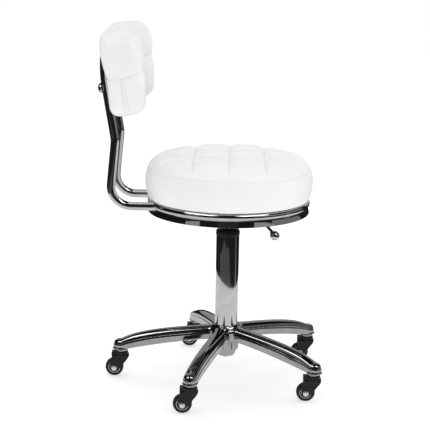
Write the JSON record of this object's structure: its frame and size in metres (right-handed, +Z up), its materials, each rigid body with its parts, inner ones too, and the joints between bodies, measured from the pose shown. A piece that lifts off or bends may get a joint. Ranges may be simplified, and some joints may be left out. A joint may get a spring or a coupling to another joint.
{
  "type": "rolling stylist stool",
  "caption": "Height-adjustable rolling stool: round quilted padded seat, padded backrest on two bent tubes, gas-lift column and star base on swivel casters.",
  "frame": {"origin": "on the floor under the column axis, with the wheels resting on Z = 0", "axes": "+Z up along the column, -Y the way the sitter faces, +Y towards the backrest, +X the sitter's left"},
  "size_m": [0.478, 0.4793, 0.782],
  "materials": {
    "chrome": "polished chrome plate",
    "dark_chrome": "dark bright plate",
    "bright_steel": "zinc-plated steel",
    "black_paint": "satin black paint",
    "cylinder_paint": "gloss black paint",
    "black_plastic": "moulded, slight sheen",
    "wheel_plastic": "moulded gloss",
    "tyre_black": "smooth polyurethane",
    "black_rubber": "matte",
    "plywood": "sanded birch plywood",
    "white_leather": "white synthetic leather, fine grain"
  },
  "bodies": {
    "base": {"star_base": "chrome", "caster_sockets": "bright_steel", "column_tube": "chrome", "guide_bush": "black_plastic", "bearing_lower_race": "bright_steel", "bearing_balls": "bright_steel"},
    "rod": {"bearing_upper_race": "bright_steel", "bump_stop": "black_rubber", "piston_rod": "bright_steel", "piston": "bright_steel", "rod_clip": "bright_steel"},
    "seat": {"pressure_cylinder": "cylinder_paint", "cylinder_gland": "black_plastic", "seat_mechanism": "black_paint", "lever_pivot_pin": "bright_steel", "mechanism_bolts": "bright_steel", "seat_board": "plywood", "board_tee_nuts": "bright_steel", "seat_ring": "chrome", "ring_clips": "bright_steel", "seat_cushion": "white_leather", "back_tube_left": "chrome", "back_tube_right": "chrome", "tube_bolts": "bright_steel", "tube_plugs": "black_plastic", "back_board": "plywood", "back_tee_nuts": "bright_steel", "back_bolts": "chrome", "back_cushion": "white_leather"},
    "lever": {"release_lever": "dark_chrome", "lever_ball": "chrome"},
    "valve": {"release_pin": "bright_steel"},
    "caster_1": {"caster_hood_1": "black_plastic", "caster_stem_1": "bright_steel", "wheel_axle_1": "bright_steel"},
    "wheel_1": {"wheel_core_1": "wheel_plastic", "tyre_1": "tyre_black"},
    "caster_2": {"caster_hood_2": "black_plastic", "caster_stem_2": "bright_steel", "wheel_axle_2": "bright_steel"},
    "wheel_2": {"wheel_core_2": "wheel_plastic", "tyre_2": "tyre_black"},
    "caster_3": {"caster_hood_3": "black_plastic", "caster_stem_3": "bright_steel", "wheel_axle_3": "bright_steel"},
    "wheel_3": {"wheel_core_3": "wheel_plastic", "tyre_3": "tyre_black"},
    "caster_4": {"caster_hood_4": "black_plastic", "caster_stem_4": "bright_steel", "wheel_axle_4": "bright_steel"},
    "wheel_4": {"wheel_core_4": "wheel_plastic", "tyre_4": "tyre_black"},
    "caster_5": {"caster_hood_5": "black_plastic", "caster_stem_5": "bright_steel", "wheel_axle_5": "bright_steel"},
    "wheel_5": {"wheel_core_5": "wheel_plastic", "tyre_5": "tyre_black"}
  },
  "joints": [
    {"name": "seat_swivel", "type": "hinge", "parent": "base", "child": "rod", "pos_m": [0, 0, 0.0652], "axis": [0, 0, 1], "continuous": true},
    {"name": "seat_height", "type": "slide", "parent": "rod", "child": "seat", "axis": [0, 0, 1], "range_m": [0, 0.13]},
    {"name": "lever_lift", "type": "hinge", "parent": "seat", "child": "lever", "pos_m": [-0.01838, -0.01543, 0.396], "axis": [-0.6428, 0.766, 0], "range_deg": [0, 6], "stiffness_Nm_per_rad": 2},
    {"name": "valve_press", "type": "slide", "parent": "seat", "child": "valve", "axis": [0, 0, -1], "range_m": [0, 0.0026], "stiffness_N_per_m": 400},
    {"name": "caster_swivel_1", "type": "hinge", "parent": "base", "child": "caster_1", "pos_m": [0, 0.231, 0.06], "axis": [0, 0, 1], "continuous": true},
    {"name": "wheel_spin_1", "type": "hinge", "parent": "caster_1", "child": "wheel_1", "pos_m": [0, 0.2465, 0.02], "axis": [1, 0, 0], "continuous": true},
    {"name": "caster_swivel_2", "type": "hinge", "parent": "base", "child": "caster_2", "pos_m": [-0.21969, 0.07138, 0.06], "axis": [0, 0, 1], "continuous": true},
    {"name": "wheel_spin_2", "type": "hinge", "parent": "caster_2", "child": "wheel_2", "pos_m": [-0.21969, 0.08688, 0.02], "axis": [1, 0, 0], "continuous": true},
    {"name": "caster_swivel_3", "type": "hinge", "parent": "base", "child": "caster_3", "pos_m": [-0.13578, -0.18688, 0.06], "axis": [0, 0, 1], "continuous": true},
    {"name": "wheel_spin_3", "type": "hinge", "parent": "caster_3", "child": "wheel_3", "pos_m": [-0.13578, -0.17138, 0.02], "axis": [1, 0, 0], "continuous": true},
    {"name": "caster_swivel_4", "type": "hinge", "parent": "base", "child": "caster_4", "pos_m": [0.13578, -0.18688, 0.06], "axis": [0, 0, 1], "continuous": true},
    {"name": "wheel_spin_4", "type": "hinge", "parent": "caster_4", "child": "wheel_4", "pos_m": [0.13578, -0.17138, 0.02], "axis": [1, 0, 0], "continuous": true},
    {"name": "caster_swivel_5", "type": "hinge", "parent": "base", "child": "caster_5", "pos_m": [0.21969, 0.07138, 0.06], "axis": [0, 0, 1], "continuous": true},
    {"name": "wheel_spin_5", "type": "hinge", "parent": "caster_5", "child": "wheel_5", "pos_m": [0.21969, 0.08688, 0.02], "axis": [1, 0, 0], "continuous": true}
  ],
  "couplings": [
    {"joint": "valve_press", "follows": "lever_lift", "m_per_rad": 0.024}
  ]
}
